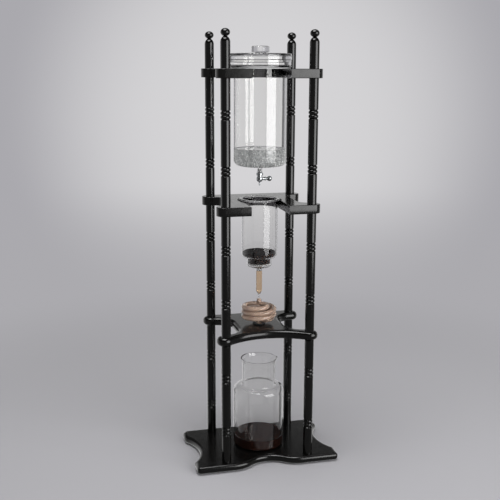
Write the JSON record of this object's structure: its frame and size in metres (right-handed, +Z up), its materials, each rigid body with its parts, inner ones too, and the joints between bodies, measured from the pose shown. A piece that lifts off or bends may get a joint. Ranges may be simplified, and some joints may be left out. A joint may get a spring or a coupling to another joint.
{
  "type": "cold drip coffee tower",
  "caption": "Wooden cold drip coffee tower with a glass water chamber, needle valve, brew chamber, drip coil and carafe.",
  "frame": {"origin": "centre of the footprint, on the table", "axes": "+Z up, front of the tower faces -Y, valve knob points to +X"},
  "size_m": [0.2936, 0.186, 0.8621],
  "materials": {
    "black_lacquered_wood": "gloss black lacquer on turned and routed hardwood",
    "brass": "machined",
    "zinc_steel": "zinc plated",
    "black_rubber": "matt",
    "clear_silicone": "satin, translucent",
    "clear_glass": "polished, clear borosilicate",
    "water": "clear liquid",
    "ice": "clear ice",
    "chrome": "polished",
    "ceramic": "matt white ceramic",
    "coffee_grounds": "wet dark brown grounds",
    "thin_coffee": "clear amber liquid",
    "pale_coffee": "pale coffee in the coil",
    "brewed_coffee": "dark brown liquid"
  },
  "bodies": {
    "stand": {"base_board": "black_lacquered_wood", "base_feet": "black_rubber", "base_screws": "zinc_steel", "lower_shelf": "black_lacquered_wood", "middle_shelf": "black_lacquered_wood", "top_shelf": "black_lacquered_wood", "lower_shelf_studs": "zinc_steel", "middle_shelf_studs": "zinc_steel", "top_shelf_studs": "zinc_steel", "lower_spindle_inserts": "brass", "middle_spindle_inserts": "brass", "upper_spindle_inserts": "brass", "finial_inserts": "brass", "chamber_seat_ring": "clear_silicone", "brew_pad": "black_rubber", "coil_bung": "black_rubber", "lower_spindle_front_left": "black_lacquered_wood", "lower_spindle_front_right": "black_lacquered_wood", "lower_spindle_back_left": "black_lacquered_wood", "lower_spindle_back_right": "black_lacquered_wood", "middle_spindle_front_left": "black_lacquered_wood", "middle_spindle_front_right": "black_lacquered_wood", "middle_spindle_back_left": "black_lacquered_wood", "middle_spindle_back_right": "black_lacquered_wood", "upper_spindle_front_left": "black_lacquered_wood", "upper_spindle_front_right": "black_lacquered_wood", "upper_spindle_back_left": "black_lacquered_wood", "upper_spindle_back_right": "black_lacquered_wood", "finial_front_left": "black_lacquered_wood", "finial_front_right": "black_lacquered_wood", "finial_back_left": "black_lacquered_wood", "finial_back_right": "black_lacquered_wood"},
    "water_chamber": {"water_chamber": "clear_glass", "water": "water", "ice_cubes": "ice", "valve_body": "chrome", "valve_sleeve": "clear_silicone", "valve_collar_nut": "chrome", "valve_gland_nut": "chrome", "valve_oring": "black_rubber"},
    "water_lid": {"water_lid": "clear_glass"},
    "valve_knob": {"valve_needle": "chrome", "valve_knob": "chrome"},
    "brew_chamber": {"brew_chamber": "clear_glass", "filter_disc": "ceramic", "filter_gasket": "clear_silicone", "coffee_grounds": "coffee_grounds", "tube_grommet": "clear_silicone", "drip_tube": "clear_glass", "drip_tube_coffee": "thin_coffee"},
    "drip_coil": {"drip_coil": "clear_glass", "coil_coffee": "pale_coffee"},
    "carafe": {"carafe": "clear_glass", "brewed_coffee": "brewed_coffee"}
  },
  "joints": [
    {"name": "water_chamber_lift", "type": "slide", "parent": "stand", "child": "water_chamber", "axis": [0, 0, 1], "range_m": [0, 0.24]},
    {"name": "lid_lift", "type": "slide", "parent": "water_chamber", "child": "water_lid", "axis": [0, 0, 1], "range_m": [0, 0.06]},
    {"name": "valve_knob_turn", "type": "hinge", "parent": "water_chamber", "child": "valve_knob", "pos_m": [0.02, 0, 0.577], "axis": [1, 0, 0], "range_deg": [-180, 720]},
    {"name": "brew_chamber_slide", "type": "slide", "parent": "stand", "child": "brew_chamber", "axis": [0, -1, 0], "range_m": [0, 0.2]},
    {"name": "coil_lift", "type": "slide", "parent": "stand", "child": "drip_coil", "axis": [0, 0, 1], "range_m": [0, 0.04]},
    {"name": "carafe_slide", "type": "slide", "parent": "stand", "child": "carafe", "axis": [0, -1, 0], "range_m": [0, 0.2]}
  ],
  "couplings": [
    {"joint": "coil_lift", "follows": "brew_chamber_slide", "ratio": 0.2}
  ]
}
